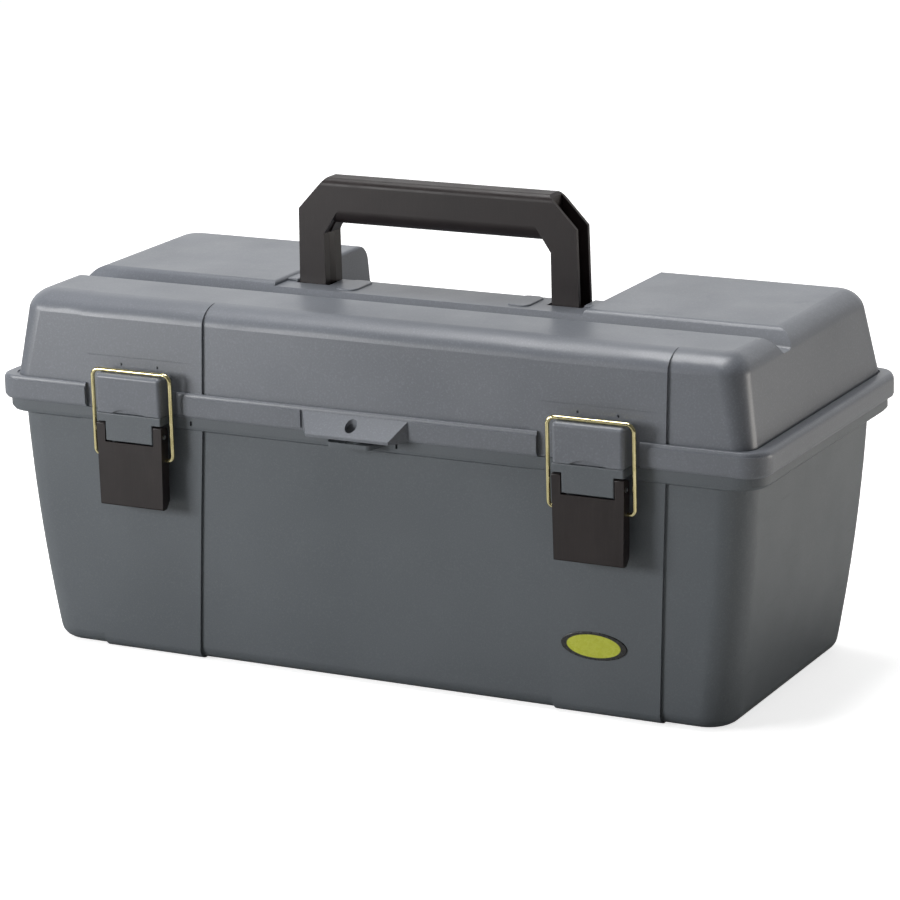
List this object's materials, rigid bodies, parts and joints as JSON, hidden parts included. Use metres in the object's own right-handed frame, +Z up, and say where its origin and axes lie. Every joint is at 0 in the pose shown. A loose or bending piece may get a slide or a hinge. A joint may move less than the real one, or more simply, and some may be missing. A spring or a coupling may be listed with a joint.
{
  "type": "tool box",
  "caption": "Moulded plastic tool box with a hinged lid, fold-down carry handle, lever draw latches with wire bails, padlock tabs and a lift-out tray.",
  "frame": {"origin": "on the floor under the tub, midway between the two ends and between the front and rear of the lid's flange", "axes": "+Z up, +X to the right seen from the front, latches on the -Y side, lid hinges on the +Y side"},
  "size_m": [0.511, 0.2332, 0.285],
  "materials": {
    "case_plastic": "fine moulded grain, satin",
    "tray_plastic": "smooth satin",
    "dark_plastic": "satin brown-black",
    "brass_wire": "bright drawn wire",
    "steel_pin": "drawn",
    "badge_print": "glossy"
  },
  "bodies": {
    "base": {"base_tub": "case_plastic", "hinge_pin_left": "steel_pin", "hinge_pin_centre": "steel_pin", "hinge_pin_right": "steel_pin", "latch_pin_left": "steel_pin", "latch_pin_right": "steel_pin", "badge": "badge_print"},
    "lid": {"lid_shell": "case_plastic", "handle_pin_left": "steel_pin", "handle_pin_right": "steel_pin"},
    "handle": {"carry_handle": "dark_plastic"},
    "lever_left": {"latch_lever_left": "dark_plastic"},
    "lever_right": {"latch_lever_right": "dark_plastic"},
    "bail_left": {"latch_bail_left": "brass_wire"},
    "bail_right": {"latch_bail_right": "brass_wire"},
    "tray": {"tray_body": "tray_plastic", "tray_handle": "dark_plastic", "tray_divider_left": "tray_plastic", "tray_divider_right": "tray_plastic"}
  },
  "joints": [
    {"name": "lid_hinge", "type": "hinge", "parent": "base", "child": "lid", "pos_m": [0, 0.111, 0.157], "axis": [-1, 0, 0], "range_deg": [0, 100]},
    {"name": "handle_fold", "type": "hinge", "parent": "lid", "child": "handle", "pos_m": [0, 0.0035, 0.209], "axis": [-1, 0, 0], "range_deg": [0, 90]},
    {"name": "lever_left_open", "type": "hinge", "parent": "base", "child": "lever_left", "pos_m": [-0.1532, -0.1145, 0.1436], "axis": [-1, 0, 0], "range_deg": [0, 115]},
    {"name": "bail_left_swing", "type": "hinge", "parent": "lever_left", "child": "bail_left", "pos_m": [-0.1532, -0.1125, 0.1287], "axis": [-1, 0, 0], "range_deg": [-161, 0]},
    {"name": "lever_right_open", "type": "hinge", "parent": "base", "child": "lever_right", "pos_m": [0.1523, -0.1145, 0.1436], "axis": [-1, 0, 0], "range_deg": [0, 115]},
    {"name": "bail_right_swing", "type": "hinge", "parent": "lever_right", "child": "bail_right", "pos_m": [0.1523, -0.1125, 0.1287], "axis": [-1, 0, 0], "range_deg": [-161, 0]},
    {"name": "tray_lift", "type": "slide", "parent": "base", "child": "tray", "axis": [0, 0, 1], "range_m": [0, 0.025]}
  ],
  "couplings": [
    {"joint": "bail_left_swing", "follows": "lever_left_open", "ratio": -1.4},
    {"joint": "bail_right_swing", "follows": "lever_right_open", "ratio": -1.4}
  ]
}
